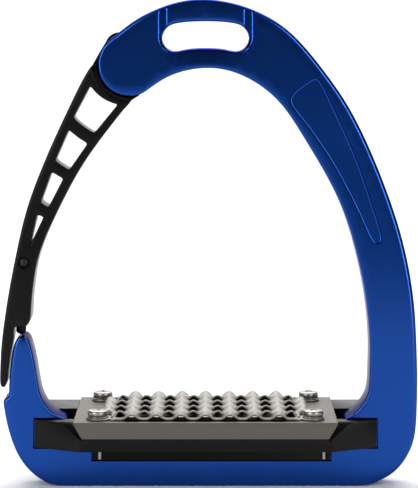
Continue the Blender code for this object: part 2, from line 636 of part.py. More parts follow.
def screws_and_inserts(steel, brass):
    """A pan-head screw, a washer and a threaded insert at each corner of the plate."""
    names = ("front_left", "front_right", "rear_left", "rear_right")
    for name, (x, y) in zip(names, screw_places()):
        ear = PLATE_LOW + EAR_SHEET + 0.1
        inner = SCREW_R + 0.2
        turned(f"washer_{name}", [(inner, ear), (WASHER_R, ear), (WASHER_R, ear + WASHER_SHEET),
                                  (inner, ear + WASHER_SHEET)], steel, ROUND, (x, y, 0.0))
        seat = ear + WASHER_SHEET + 0.1
        head = [(SCREW_HEAD_R - 0.15, seat), (SCREW_HEAD_R, seat + 0.2), (SCREW_HEAD_R, seat + 1.1),
                (SCREW_HEAD_R - 0.5, seat + 1.6), (2.0, seat + 2.05), (0.0, seat + 2.2)]
        turned(f"tread_screw_{name}", [(0.0, SCREW_LOW), (SCREW_R - 0.3, SCREW_LOW), (SCREW_R, SCREW_LOW + 0.4),
                                       (SCREW_R, seat)] + head, steel, ROUND, (x, y, 0.0))
        bore = SCREW_R + PIN_FIT
        turned(f"insert_{name}", [(bore, INSERT_LOW), (INSERT_R, INSERT_LOW), (INSERT_R, INSERT_TOP),
                                  (bore, INSERT_TOP)], brass, 24, (x, y, 0.0))


def stay_pins(steel):
    """Short upright pins at the foot of each carrier half."""
    for side, face in ((-1, "front"), (1, "rear")):
        for x, hand in ((STAY_PIN_LEFT, "left"), (STAY_PIN_RIGHT, "right")):
            rod(f"stay_pin_{face}_{hand}", STAY_PIN_R, STAY_PIN_LOW, STAY_PIN_TOP, steel, 16,
                (x, side * STAY_PIN_Y, 0.0))


def main():
    clear_scene()
    blue = material("anodised_blue", (0.012, 0.07, 0.34), 0.3, 1.0)
    black = material("black_nylon", (0.01, 0.01, 0.011), 0.4, 0.0)
    taupe = material("tray_sheet", (0.16, 0.15, 0.135), 0.45, 1.0)
    grater = material("tread_steel", (0.42, 0.41, 0.38), 0.4, 1.0)
    bright = material("bright_steel", (0.62, 0.61, 0.58), 0.25, 1.0)
    brass = material("insert_brass", (0.6, 0.42, 0.16), 0.35, 1.0)
    bronze = material("bush_bronze", (0.45, 0.27, 0.12), 0.4, 1.0)
    white = material("washer_plastic", (0.7, 0.7, 0.68), 0.4, 0.0)
    bow_frame(blue)
    release_arm(black)
    hinge_parts(bright, bronze, white)
    catch_parts(bright, black)
    carrier_front(black)
    carrier_rear(black)
    tread_tray(taupe)
    tread_plate(grater)
    screws_and_inserts(bright, brass)
    stay_pins(bright)


main()
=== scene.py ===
"""Safety stirrup iron with a hinged release arm, finished for display.

Lengths are millimetres until a mesh is stored; MM turns them into metres.
X runs along the foot bar, Y through the stirrup (front is -Y), Z is up.
"""

import math

import bmesh
import bpy
import numpy as np
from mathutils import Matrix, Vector
from mathutils.geometry import delaunay_2d_cdt


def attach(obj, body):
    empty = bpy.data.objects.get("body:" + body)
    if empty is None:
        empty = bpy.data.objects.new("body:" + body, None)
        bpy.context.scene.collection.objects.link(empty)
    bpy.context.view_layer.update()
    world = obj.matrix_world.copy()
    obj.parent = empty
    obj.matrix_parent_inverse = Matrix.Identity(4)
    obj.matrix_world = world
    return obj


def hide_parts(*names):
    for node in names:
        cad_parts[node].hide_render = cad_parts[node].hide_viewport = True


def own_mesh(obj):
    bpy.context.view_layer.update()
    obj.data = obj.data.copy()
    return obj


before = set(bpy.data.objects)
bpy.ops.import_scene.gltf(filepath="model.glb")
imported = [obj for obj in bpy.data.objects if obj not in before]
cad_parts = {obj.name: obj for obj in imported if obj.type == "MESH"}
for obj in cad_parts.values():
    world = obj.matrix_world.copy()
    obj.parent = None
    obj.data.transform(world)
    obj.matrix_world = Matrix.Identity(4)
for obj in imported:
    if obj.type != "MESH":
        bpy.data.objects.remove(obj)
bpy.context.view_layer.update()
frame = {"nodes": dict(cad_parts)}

MM = 0.001

# ------------------------------------------------------------------ bow frame
# The bow is forged aluminium alloy, milled to a slim arch over a thicker foot bar.
# Its edges are broken with a round cutter, and the face is satin polished, anodised
# and dyed.  A fork in the knuckle and a dish in the horn take the release arm.

ARCH_HALF = 6.0          # half thickness of the arch
FOOT_HALF = 7.5          # half thickness of the foot bar
ARCH_FROM, FOOT_TO = 122.0, 50.0
LOOP_STEP = 0.6          # spacing of points along an edge
KNUCKLE = np.array([-26.29, 147.54])
KNUCKLE_R = 10.9
HINGE = np.array([-29.83, 153.74])
EYE_R = 4.9
FORK_HALF = 3.4
GROOVE_OUT, GROOVE_IN, GROOVE_DEPTH = 16.1, 13.4, 2.4
PANEL_DEPTH = 0.7
EDGE_OUTSIDE, EDGE_INSIDE, EDGE_KNUCKLE, EDGE_SLOT = 1.5, 0.8, 0.9, 1.0


def even(line, step):
    """A line resampled to equal steps along its length."""
    along = np.concatenate([[0.0], np.cumsum(np.linalg.norm(np.diff(line[:, :2], axis=0), axis=1))])
    at = np.linspace(0.0, along[-1], max(3, int(round(along[-1] / step)) + 1))
    return np.stack([np.interp(at, along, line[:, k]) for k in range(line.shape[1])], axis=1)


def through(points, step=LOOP_STEP, closed=False):
    """Catmull-Rom curve: a cubic from each point to the next, its slope at a point that of its neighbours."""
    p = np.array(points, float)
    ends = (p[-1:], p[:2]) if closed else (2 * p[:1] - p[1:2], 2 * p[-1:] - p[-2:-1])
    q = np.concatenate([ends[0], p, ends[1]])
    t = np.linspace(0.0, 1.0, 25)[:-1, None]
    a, b, c, d = (q[k:len(q) - 3 + k, None] for k in range(4))
    line = b + 0.5 * t * ((c - a) + t * ((2 * a - 5 * b + 4 * c - d) + t * (3 * b - a - 3 * c + d)))
    return even(np.concatenate([line.reshape(-1, 2), p[:1] if closed else p[-1:]]), step)


def arc(centre, radius, start, stop, step=LOOP_STEP):
    """Part of a circle from one angle to another, in degrees from +X towards +Z."""
    count = max(3, int(abs(math.radians(stop - start)) * radius / step))
    turn = np.radians(np.linspace(start, stop, count + 1))
    return np.array(centre) + radius * np.stack([np.cos(turn), np.sin(turn)], axis=1)


def calm(line, reach=5):
    """Evens out small wobbles by a Gaussian average along a line, mirrored through its ends to hold them."""
    span = np.arange(-3 * reach, 3 * reach + 1)
    weight = np.exp(-0.5 * (span / reach) ** 2)
    weight /= weight.sum()
    n = min(3 * reach, len(line) - 1)
    span_fill = 3 * reach - n
    head = 2 * line[0] - line[n:0:-1]
    tail = 2 * line[-1] - line[-2:-n - 2:-1]
    full = np.pad(np.concatenate([head, line, tail]), ((span_fill, span_fill), (0, 0)), "edge")
    return np.stack([np.convolve(full[:, k], weight, "valid") for k in (0, 1)], axis=1)


def around(parts, reach=1.3, blend=5.0, step=LOOP_STEP):
    """Closed line (x, z, edge radius) from (line, radius) parts.
    Corners are rounded by a Gaussian average carried round the loop as a product of its waves."""
    rows = np.concatenate([np.column_stack([line, np.full(len(line), radius)]) for line, radius in parts])
    rows = even(np.concatenate([rows, rows[:1]]), step)[:-1]
    waves = np.fft.rfft(rows, axis=0)
    rate = np.fft.rfftfreq(len(rows))[:, None]
    width = np.array([reach, reach, blend])
    return np.fft.irfft(waves * np.exp(-2.0 * (np.pi * width * rate) ** 2), len(rows), axis=0)


def inward(loop):
    """Unit vectors square to a closed line, pointing to its left, where the material is."""
    run = np.roll(loop[:, :2], -1, axis=0) - np.roll(loop[:, :2], 1, axis=0)
    run /= np.linalg.norm(run, axis=1)[:, None]
    return np.stack([-run[:, 1], run[:, 0]], axis=1)


def within(spots, loop):
    """Which spots a closed line holds: a ray towards +X from one crosses the line an odd number of times."""
    x1, z1 = loop[:, 0], loop[:, 1]
    x2, z2 = np.roll(x1, -1), np.roll(z1, -1)
    found = []
    for some in np.array_split(spots, max(1, len(spots) // 1500)):
        x, z = some[:, :1], some[:, 1:2]
        crosses = ((z1 > z) != (z2 > z)) & (x < (x2 - x1) * (z - z1) / (z2 - z1 + 1e-12) + x1)
        found.append(crosses.sum(axis=1) % 2 == 1)
    return np.concatenate(found)


def away(spots, lines):
    """Distance from each spot to the nearest point of the lines."""
    return np.concatenate([np.sqrt(((some[:, None] - lines[None]) ** 2).sum(axis=2)).min(axis=1)
                           for some in np.array_split(spots, max(1, len(spots) // 400))])


def filled(loops, guides, grid, extra=None):
    """Points and triangles that fill the first loop outside the others, with guide lines as edges.
    The triangles are Delaunay's, on the loops, the guides and an even grid kept clear of them."""
    rings = [loop[:, :2] for loop in loops] + [guide[:, :2] for guide in guides]
    lines = np.concatenate(rings)
    low, high = rings[0].min(axis=0), rings[0].max(axis=0)
    spots = np.stack(np.meshgrid(np.arange(low[0], high[0], grid), np.arange(low[1], high[1], grid)), axis=-1)
    spots = spots.reshape(-1, 2)
    spots = spots[away(spots, lines) > 0.55 * grid]
    if extra is not None:
        spots = spots[away(spots, extra) > 0.8]
        extra = extra[away(extra, lines) > 0.3]
        spots = np.concatenate([spots, extra])
    points = np.concatenate([lines, spots])
    edges, start = [], 0
    for ring in rings:
        turn = np.arange(len(ring))
        edges.append(np.stack([start + turn, start + np.roll(turn, -1)], axis=1))
        start += len(ring)
    found = delaunay_2d_cdt([Vector(p) for p in points.tolist()], np.concatenate(edges).tolist(), [], 0, 1e-5)
    flat = np.array([tuple(v) for v in found[0]])
    triangles = np.array(found[2])
    middle = flat[triangles].mean(axis=1)
    keep = within(middle, rings[0])
    for ring in rings[1:len(loops)]:
        keep &= ~within(middle, ring)
    return flat, triangles[keep]


def stored(name, points, faces, crease=32.0, merge=1e-3):
    """Puts points in millimetres and faces into a new object, merges doubles and turns faces outwards."""
    edit = bmesh.new()
    mesh = bpy.data.meshes.new(name)
    mesh.from_pydata(points.tolist(), [], faces)
    edit.from_mesh(mesh)
    bmesh.ops.remove_doubles(edit, verts=edit.verts, dist=merge)
    bmesh.ops.dissolve_degenerate(edit, edges=edit.edges, dist=1e-5)
    bmesh.ops.recalc_face_normals(edit, faces=edit.faces)
    bmesh.ops.scale(edit, vec=(MM, MM, MM), verts=edit.verts)
    edit.to_mesh(mesh)
    edit.free()
    made = bpy.data.objects.new(name, mesh)
    bpy.context.scene.collection.objects.link(made)
    smooth(made, crease)
    return made


def smooth(piece, crease=32.0):
    """Smooth shading, with an edge sharper than the crease angle left crisp."""
    piece.data.shade_smooth()
    piece.data.set_sharp_from_angle(angle=math.radians(crease))


def plate(name, loops, half, guides=(), grid=2.4, rows=5, extra=None):
    """Flat body with rounded edges, from closed lines (x, z, edge radius) with the material on their left.
    Row k of an edge lies at angle a = 90 k / rows: in from the line by r (1 - sin a), back from the face by
    r (1 - cos a).  half(x, z) is the half thickness, so the faces may be stepped and tapered."""
    points, faces, count = [], [], 0
    turn = np.radians(np.linspace(0.0, 90.0, rows + 1))
    insets = np.concatenate([1 - np.sin(turn), 1 - np.sin(turn[::-1])])
    drops = np.concatenate([1 - np.cos(turn), 1 - np.cos(turn[::-1])])
    sides = np.concatenate([-np.ones(rows + 1), np.ones(rows + 1)])
    flat_loops = []
    for loop in loops:
        n, radius, normal = len(loop), loop[:, 2], inward(loop)
        at = loop[None, :, :2] + normal[None] * (insets[:, None] * radius)[:, :, None]
        depth = sides[:, None] * (half(at[..., 0], at[..., 1]) - drops[:, None] * radius)
        points.append(np.stack([at[..., 0], depth, at[..., 1]], axis=2).reshape(-1, 3))
        ring, spot = np.meshgrid(np.arange(len(sides) - 1), np.arange(n), indexing="ij")
        after = (spot + 1) % n
        corner = count + ring * n
        faces += np.stack([corner + spot, corner + after, corner + n + after, corner + n + spot],
                          axis=2).reshape(-1, 4).tolist()
        count += n * len(sides)
        flat_loops.append(at[0])
    flat, triangles = filled(flat_loops, guides, grid, extra)
    for side in (-1.0, 1.0):
        points.append(np.column_stack([flat[:, 0], side * half(flat[:, 0], flat[:, 1]), flat[:, 1]]))
        faces += (triangles[:, ::int(side)] + count).tolist()
        count += len(flat)
    return stored(name, np.concatenate(points), faces)


def loft(name, rings, closed=False, crease=32.0):
    """Skin over rings of points (ring, point, xyz), with flat ends unless it closes on itself."""
    rings = np.array(rings, float)
    count, n = rings.shape[:2]
    ring, spot = np.meshgrid(np.arange(count if closed else count - 1), np.arange(n), indexing="ij")
    after, later = (spot + 1) % n, (ring + 1) % count
    faces = np.stack([ring * n + spot, ring * n + after, later * n + after, later * n + spot], axis=2)
    faces = faces.reshape(-1, 4).tolist()
    if not closed:
        faces += [list(range(n))[::-1], list(range((count - 1) * n, count * n))]
    return stored(name, rings.reshape(-1, 3), faces, crease)


def pushed(name, outline, sections):
    """Outline (x, z) carried along Y; each section (y, grow) moves it outwards by grow."""
    outline = np.array(outline, float)
    out = -inward(outline)
    area = np.sum(outline[:, 0] * np.roll(outline[:, 1], -1) - np.roll(outline[:, 0], -1) * outline[:, 1])
    out *= np.sign(area)
    rings = [np.column_stack([outline[:, 0] + out[:, 0] * grow, np.full(len(outline), y),
                              outline[:, 1] + out[:, 1] * grow]) for y, grow in sections]
    return loft(name, rings)


def turned(name, profile, base, axis, sides=64, closed=False, crease=32.0):
    """Round piece: each (radius, height) of the profile is carried in a circle about an axis."""
    axis = np.array(axis, float) / np.linalg.norm(axis)
    first = np.cross(axis, [0.0, 1.0, 0.0] if abs(axis[1]) < 0.9 else [1.0, 0.0, 0.0])
    first /= np.linalg.norm(first)
    second = np.cross(axis, first)
    profile = np.array(profile, float)
    turn = np.linspace(0.0, 2.0 * np.pi, sides, endpoint=False)
    spoke = np.cos(turn)[:, None] * first + np.sin(turn)[:, None] * second
    rings = (np.array(base, float) + profile[:, 0, None, None] * spoke[None]
             + profile[:, 1, None, None] * axis)
    return loft(name, rings, closed, crease)


def worked(body, tools, operation="DIFFERENCE"):
    """Cuts the tools out of a body, or joins them on, and leaves it one plain mesh without them."""
    for tool in tools:
        step = body.modifiers.new(tool.name, "BOOLEAN")
        step.object, step.operation, step.solver = tool, operation, "EXACT"
    graph = bpy.context.evaluated_depsgraph_get()
    mesh = bpy.data.meshes.new_from_object(body.evaluated_get(graph))
    body.modifiers.clear()
    body.data = mesh
    for tool in tools:
        bpy.data.objects.remove(tool)
    smooth(body)
    return body


def step_up(t):
    """0 below 0, 1 above 1, and a smooth S between them."""
    t = np.clip(t, 0.0, 1.0)
    return t * t * (3.0 - 2.0 * t)


def thickness(z):
    """Half thickness of the bow at a height: an S-shaped swell from the arch to the foot."""
    return FOOT_HALF + (ARCH_HALF - FOOT_HALF) * step_up((z - FOOT_TO) / (ARCH_FROM - FOOT_TO))


panel_rim = through([(29.1, 136.0), (31.3, 138.8), (35.2, 141.7), (38.2, 143.3), (40.5, 140.7), (47.4, 126.3),
                     (52.8, 114.0), (58.0, 99.1), (61.4, 87.9), (60.3, 85.2), (57.6, 86.4), (51.9, 98.7),
                     (43.6, 114.0), (35.6, 125.7), (29.9, 133.0)], closed=True)[:-1]
panel_rim = around([(panel_rim, 0.0)], reach=2.0)[:, :2]
panel_out = inward(panel_rim) * np.sign(np.sum(panel_rim[:, 0] * np.roll(panel_rim[:, 1], -1)
                                               - np.roll(panel_rim[:, 0], -1) * panel_rim[:, 1])) * -1.0
panel_steps = [0.3, 0.0, -0.14, -0.34, -0.48, -0.8]
panel_lines = [panel_rim + panel_out * grow for grow in panel_steps]


def bow_half(x, z):
    """Half thickness less the groove above the slot and the sunk panel on the leg.
    The groove's wall is a ramp between its two lines, rounded at top and foot; below the slot's widest
    height its outer line draws in along a parabola, so that it meets the slot's lower corner."""
    edge = GROOVE_OUT - 0.1 * np.clip(157.0 - z, 0.0, 6.0) ** 2
    ramp = np.clip((edge - np.abs(x)) / (GROOVE_OUT - GROOVE_IN), -0.2, 1.2)
    ramp = 0.5 * (np.sqrt(ramp ** 2 + 0.006) - np.sqrt((ramp - 1.0) ** 2 + 0.006) + 1.0)
    groove = GROOVE_DEPTH * np.clip(ramp, 0.0, 1.0) * step_up((z - 150.5) / 3.5)
    half = thickness(z) - groove
    shape = np.shape(x)
    spots = np.column_stack([np.ravel(x), np.ravel(z)])
    near = (spots[:, 0] > 25.0) & (spots[:, 1] > 80.0) & (spots[:, 1] < 147.0)
    sunk = np.zeros(len(spots))
    if near.any():
        chosen = spots[near]
        reach = away(chosen, panel_rim) * np.where(within(chosen, panel_rim), 1.0, -1.0)
        sunk[near] = PANEL_DEPTH * step_up((reach + 0.02) / 0.46)
    return half - sunk.reshape(shape)


knuckle_edge = arc(KNUCKLE, KNUCKLE_R, 124.0, 297.0)
inside_edge = calm(through([knuckle_edge[-1], (-11.9, 144.1), (1.2, 146.6), (12.9, 143.9), (24.5, 135.9),
                            (34.0, 122.5), (46.9, 99.5), (54.2, 75.4), (57.3, 53.8), (57.3, 37.7)]), 6)
toe_right = calm(through([inside_edge[-1], (56.9, 33.0), (55.4, 29.6), (51.9, 25.6), (48.6, 23.9)]), 2)
notch = np.array([(48.0, 22.6), (48.0, 16.4), (-48.0, 16.4), (-48.0, 22.6)])
toe_left = calm(through([(-48.6, 23.9), (-52.2, 24.9), (-55.6, 28.1), (-57.9, 32.8), (-59.8, 44.5),
                         (-61.4, 51.0)]), 3)
horn_tip = through([toe_left[-1], (-62.6, 52.8), (-64.2, 53.1), (-65.6, 52.5), (-66.7, 50.8)])
horn_back = calm(through([horn_tip[-1], (-67.6, 47.0), (-68.3, 41.7), (-68.8, 34.5), (-68.8, 32.2)]), 2)
ledge = np.array([(-69.0, 31.2), (-70.6, 31.1)])
corner = calm(through([(-70.85, 29.6), (-70.1, 24.6), (-69.1, 19.9), (-67.1, 13.7), (-64.0, 7.9),
                       (-59.3, 3.1), (-55.0, 0.7)]), 3)
base = np.array([(-51.3, 0.0), (54.3, 0.0)])
outside_edge = calm(through([(58.3, 0.6), (64.3, 3.1), (67.8, 6.1), (70.1, 9.1), (73.0, 15.1), (73.7, 20.0),
                             (74.0, 26.0), (74.1, 33.5), (74.0, 42.7), (72.7, 64.9), (68.9, 85.4),
                             (62.0, 106.3), (52.6, 127.5),
                             (43.0, 142.7), (29.1, 158.9), (15.2, 167.0), (1.2, 170.1), (-8.9, 169.3),
                             (-15.8, 167.1), (-23.9, 163.2), knuckle_edge[0]]), 5)
bow_loop = around([(knuckle_edge[1:-1], EDGE_KNUCKLE), (inside_edge, EDGE_INSIDE),
                   (toe_right[1:], EDGE_INSIDE), (notch, 0.3), (toe_left, EDGE_INSIDE), (horn_tip[1:], 0.9),
                   (horn_back[1:], 1.3),
                   (ledge, 0.6), (corner, EDGE_OUTSIDE), (base, EDGE_OUTSIDE), (outside_edge, EDGE_OUTSIDE)])
slot_half = [(0.0, 162.4), (7.9, 162.0), (12.8, 160.7), (15.1, 157.0), (14.0, 153.7), (10.9, 152.0),
             (5.9, 152.9)]
slot_line = through(slot_half + [(0.0, 153.2)] + [(-x, z) for x, z in slot_half[:0:-1]], closed=True)[:-1]
slot_loop = around([(slot_line, EDGE_SLOT)], reach=1.5)

groove_x, groove_z = np.meshgrid(np.arange(12.2, 17.4, 0.36), np.arange(151.0, 171.0, 0.9))
groove_spots = np.column_stack([groove_x.ravel(), groove_z.ravel()])
groove_spots = np.concatenate([groove_spots, groove_spots * [-1.0, 1.0]])
groove_spots = groove_spots[within(groove_spots, bow_loop) & ~within(groove_spots, slot_loop)]
bow = plate("bow_frame_forged", [bow_loop, slot_loop], bow_half, panel_lines, extra=groove_spots)

SEAT_DEPTH = 1.2
SEAT_CHAMFER = 0.3
tools = []
for front, wing_top in ((-1.0, 24.1), (1.0, 25.1)):
    seat = [(-60.3, 13.6), (-40.1, 13.6), (-40.1, 9.2), (44.2, 9.2), (44.2, 13.6), (60.3, 13.6),
            (60.3, wing_top), (-60.3, wing_top)]
    face = front * FOOT_HALF
    tools.append(pushed("seat_tool", seat, [(face - front * SEAT_DEPTH, 0.0),
                                            (face - front * SEAT_CHAMFER, 0.0), (face, SEAT_CHAMFER),
                                            (face + front * 3.0, SEAT_CHAMFER)]))
fork_floor = arc(HINGE, EYE_R + 0.3, -57.4, 70.0)
fork_ends = [arc(HINGE, 24.0, a, a + 1.0)[0] for a in (-57.4, 70.0)]
fork = np.concatenate([fork_floor, [fork_ends[1], (-62.0, fork_ends[1][1]), (-62.0, 124.0), fork_ends[0]]])
tools.append(pushed("fork_tool", fork, [(-FORK_HALF, 0.0), (FORK_HALF, 0.0)]))
hinge_at = (HINGE[0], 0.0, HINGE[1])
tools.append(turned("bore_tool", [(2.12, -5.0), (2.12, 5.6), (2.5, 6.0), (2.5, 9.0)],
                    hinge_at, (0, 1, 0), 48))
TIP = np.array([-64.90, 0.0, 52.98])
SLIDE = np.array([0.067847, 0.0, 0.997696])
tools.append(turned("dish_tool", [(0.4, -0.47), (3.0, 0.15), (3.0, 5.0)], TIP, SLIDE, 32))
worked(bow, tools)


def linear(code):
    """An sRGB hex colour as linear light, by the sRGB curve."""
    value = np.array([int(code[k:k + 2], 16) for k in (0, 2, 4)]) / 255.0
    light = np.where(value <= 0.04045, value / 12.92, ((value + 0.055) / 1.055) ** 2.4)
    return (*light.tolist(), 1.0)


def add(tree, kind, inputs=None, **settings):
    """Adds a node with its settings, and gives each named input a value or a link."""
    made = tree.nodes.new(kind)
    for key, value in settings.items():
        setattr(made, key, value)
    for key, value in (inputs or {}).items():
        if isinstance(value, bpy.types.NodeSocket):
            tree.links.new(value, made.inputs[key])
        else:
            made.inputs[key].default_value = value
    return made


def surface(name, **sockets):
    """A new material, its tree, its shader with the given sockets set, and object coordinates."""
    made = bpy.data.materials.new(name)
    made.use_nodes = True
    tree = made.node_tree
    shader = tree.nodes["Principled BSDF"]
    for key, value in sockets.items():
        shader.inputs[key.replace("_", " ")].default_value = value
    place = add(tree, "ShaderNodeTexCoord").outputs["Object"]
    return made, tree, shader, place


def finish(piece, material, body, slot, *nodes):
    """Gives a piece its material, its body and the nodes that it stands for.  The slot is not used."""
    piece.data.materials.clear()
    piece.data.materials.append(material)
    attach(piece, body)
    if nodes:
        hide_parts(*nodes)


# Anodised aluminium, satin polished before the bath: the dye tints the metal's own shine, and the
# clear oxide skin over it stays white where light grazes it.  Grain is drawn at 0.5 mm, coarser
# than the real 0.05 mm, so that it shows.
blue, tree, shader, place = surface("anodised_aluminium_satin", Metallic=1.0, Coat_Weight=0.16,
                                    Coat_Roughness=0.14, Coat_IOR=1.6,
                                    Specular_Tint=(0.14, 0.15, 0.18, 1.0))
cloud = add(tree, "ShaderNodeTexNoise", {"Vector": place, "Scale": 28.0, "Detail": 2.0})
grain = add(tree, "ShaderNodeTexNoise", {"Vector": place, "Scale": 2000.0, "Detail": 3.0})
tint = add(tree, "ShaderNodeMix", {"Factor": cloud.outputs["Fac"], "A": linear("0F449B"),
                                   "B": linear("1149A2")}, data_type="RGBA")
speck = add(tree, "ShaderNodeMix", {"Factor": grain.outputs["Fac"], "A": tint.outputs["Result"],
                                    "B": linear("0E4096")}, data_type="RGBA")
rough = add(tree, "ShaderNodeMapRange", {"Value": grain.outputs["Fac"], "To Min": 0.21, "To Max": 0.28})
bump = add(tree, "ShaderNodeBump", {"Height": grain.outputs["Fac"], "Strength": 0.06, "Distance": 0.0001})
tree.links.new(speck.outputs["Result"], shader.inputs["Base Color"])
tree.links.new(rough.outputs["Result"], shader.inputs["Roughness"])
tree.links.new(bump.outputs["Normal"], shader.inputs["Normal"])
finish(bow, blue, "frame", "anodised_blue", "bow_frame")

# ---------------------------------------------------------------- release arm
# The arm is moulded in black glass-filled nylon: two rails joined by webs, with a lug that runs in
# the fork, a saddle under the knuckle and a tongue that lies outside the horn.

ARM_SLIM = 0.15
ARM_FACE_R = 12.8
EDGE_RAIL, EDGE_WINDOW = 0.9, 0.45


def ring_edge(start, stop):
    """Arc about the knuckle from one point to another; its radius changes evenly with its angle."""
    v = np.array([start, stop]) - KNUCKLE
    radius, angle = np.hypot(*v.T), np.arctan2(v[:, 1], v[:, 0])
    t = np.linspace(0.0, 1.0, 9)
    r, a = radius[0] + (radius[1] - radius[0]) * t, angle[0] + (angle[1] - angle[0]) * t
    return KNUCKLE + np.stack([r * np.cos(a), r * np.sin(a)], axis=1)


def arm_half(x, z):
    """Half thickness of the arm, a little under the bow's."""
    return thickness(z) - ARM_SLIM


saddle_line = arc(KNUCKLE, ARM_FACE_R, 264.5, 176.5)
rail_outer = calm(through([(-39.2, 147.6), (-41.8, 143.7), (-48.2, 130.8), (-55.9, 114.0), (-62.5, 96.3),
                           (-67.3, 75.2), (-69.9, 60.5), (-71.4, 48.9), (-71.84, 40.0)]), 5)
tongue_tip = through([rail_outer[-1], (-71.87, 36.8), (-71.6, 35.4), (-70.8, 34.9), (-69.9, 35.2),
                      (-69.6, 37.0)])
tongue_in = np.array([(-69.1, 41.7), (-68.35, 47.0), (-67.5, 50.9), (-67.1, 53.5), (-67.0, 56.0),
                      (-66.4, 56.5), (-62.5, 56.5), (-61.4, 57.8)])
rail_inner = calm(through([(-60.9, 59.9), (-60.4, 67.3), (-58.0, 81.3), (-51.2, 97.2), (-41.9, 114.0),
                           (-29.7, 130.3), (-25.6, 134.9)]), 4)
# both ends of the saddle line are trimmed, which leaves room to round the corners there
arm_loop = around([(saddle_line[2:-2], 0.45), (rail_outer, EDGE_RAIL), (tongue_tip[1:], 0.7),
                   (tongue_in, 0.45), (rail_inner, 0.6)], reach=1.1)
corners = [[(-39.8, 140.2), (-45.6, 129.3), (-38.5, 124.0), (-30.4, 133.8)],
           [(-47.3, 125.0), (-52.0, 114.4), (-47.3, 111.2), (-40.9, 120.3)],
           [(-53.3, 110.4), (-57.2, 99.9), (-54.6, 98.2), (-49.4, 108.1)]]
window_lines = [np.concatenate([ring_edge(low_in, low_out), ring_edge(top_out, top_in)])
                for top_out, low_out, low_in, top_in in corners]
window_lines.append(np.array([(-56.3, 94.8), (-61.3, 84.5), (-58.5, 95.6)]))
windows = [around([(line, EDGE_WINDOW)], reach=1.2, step=0.45) for line in window_lines]
arm = plate("release_arm_moulded", [arm_loop] + windows, arm_half, grid=2.0, rows=4)

SADDLE_HALF, LUG_HALF = 4.4, 2.2
saddle = np.concatenate([arc(KNUCKLE, KNUCKLE_R + 0.3, 174.0, 287.0), [(-25.1, 135.5)],
                         arc(KNUCKLE, 14.1, 264.0, 196.0)])
lug = np.concatenate([arc(HINGE, EYE_R, -58.0, 158.0), [(-36.8, 151.6), (-39.0, 147.7), (-41.4, 143.7)],
                      arc(KNUCKLE, 14.2, 205.0, 264.0), [(-25.1, 135.5), (-22.0, 138.2), (-21.2, 139.3)]])
worked(arm, [pushed("saddle_tool", saddle, [(-SADDLE_HALF, -0.3), (-SADDLE_HALF + 0.3, 0.0),
                                            (SADDLE_HALF - 0.3, 0.0), (SADDLE_HALF, -0.3)]),
             pushed("lug_tool", lug, [(-LUG_HALF, 0.0), (LUG_HALF, 0.0)])], "UNION")
CROSS_PIN = np.array([-63.27, 0.0, 78.82])
worked(arm, [turned("eye_tool", [(3.02, -9.0), (3.02, 9.0)], hinge_at, (0, 1, 0), 48),
             turned("catch_tool", [(2.0, -2.0), (2.0, 7.6), (1.5, 7.6), (1.5, 22.9)], TIP, SLIDE, 32),
             turned("pin_tool", [(2.3, -9.0), (2.3, -6.35), (1.72, -5.9), (1.72, 5.9), (2.3, 6.35),
                                 (2.3, 9.0)],
                    CROSS_PIN, (0, 1, 0), 40)])

# Glass-filled nylon from a spark-eroded mould: near black, satin, with a fine pebble that breaks up
# the highlights.  The pebble is drawn at 0.4 mm, about twice the real size.
nylon, tree, shader, place = surface("black_glass_filled_nylon", Metallic=0.0, IOR=1.53,
                                     Specular_IOR_Level=0.14)
pebble = add(tree, "ShaderNodeTexNoise", {"Vector": place, "Scale": 2500.0, "Detail": 2.0})
flow = add(tree, "ShaderNodeTexNoise", {"Vector": place, "Scale": 60.0, "Detail": 3.0})
tone = add(tree, "ShaderNodeMix", {"Factor": flow.outputs["Fac"], "A": linear("060607"),
                                   "B": linear("0C0C0D")}, data_type="RGBA")
rough = add(tree, "ShaderNodeMapRange", {"Value": flow.outputs["Fac"], "To Min": 0.26, "To Max": 0.36})
bump = add(tree, "ShaderNodeBump", {"Height": pebble.outputs["Fac"], "Strength": 0.12, "Distance": 0.0001})
tree.links.new(tone.outputs["Result"], shader.inputs["Base Color"])
tree.links.new(rough.outputs["Result"], shader.inputs["Roughness"])
tree.links.new(bump.outputs["Normal"], shader.inputs["Normal"])
finish(arm, nylon, "arm", "black_nylon", "release_arm")

# ------------------------------------------------------------ hinge and catch
# A ground steel pin sits blind in the fork and turns in a sintered bronze bush, between two acetal
# washers.  The catch is a sprung nylon plunger that a steel cross pin backs up.


def metal(name, pale, dark, low, high, scale, strength=0.08):
    """Bare metal: two close tones and a spread of roughness, both from fine noise at one scale."""
    made, tree, shader, place = surface(name, Metallic=1.0)
    noise = add(tree, "ShaderNodeTexNoise", {"Vector": place, "Scale": scale, "Detail": 4.0})
    tone = add(tree, "ShaderNodeMix", {"Factor": noise.outputs["Fac"], "A": linear(pale),
                                       "B": linear(dark)}, data_type="RGBA")
    spread = add(tree, "ShaderNodeMapRange", {"Value": noise.outputs["Fac"], "To Min": low, "To Max": high})
    bump = add(tree, "ShaderNodeBump", {"Height": noise.outputs["Fac"], "Strength": strength,
                                        "Distance": 0.0001})
    tree.links.new(tone.outputs["Result"], shader.inputs["Base Color"])
    tree.links.new(spread.outputs["Result"], shader.inputs["Roughness"])
    tree.links.new(bump.outputs["Normal"], shader.inputs["Normal"])
    return made


steel = metal("stainless_steel_turned", "A9A6A0", "8E8B85", 0.3, 0.42, 900.0)
dark_steel = metal("steel_black_oxide", "3A3A3C", "262628", 0.35, 0.5, 900.0)
bronze = metal("sintered_bronze", "A87B48", "7E5A34", 0.35, 0.5, 1500.0, 0.2)
brass = metal("free_cutting_brass", "CDA95E", "B08F4C", 0.25, 0.4, 1200.0)

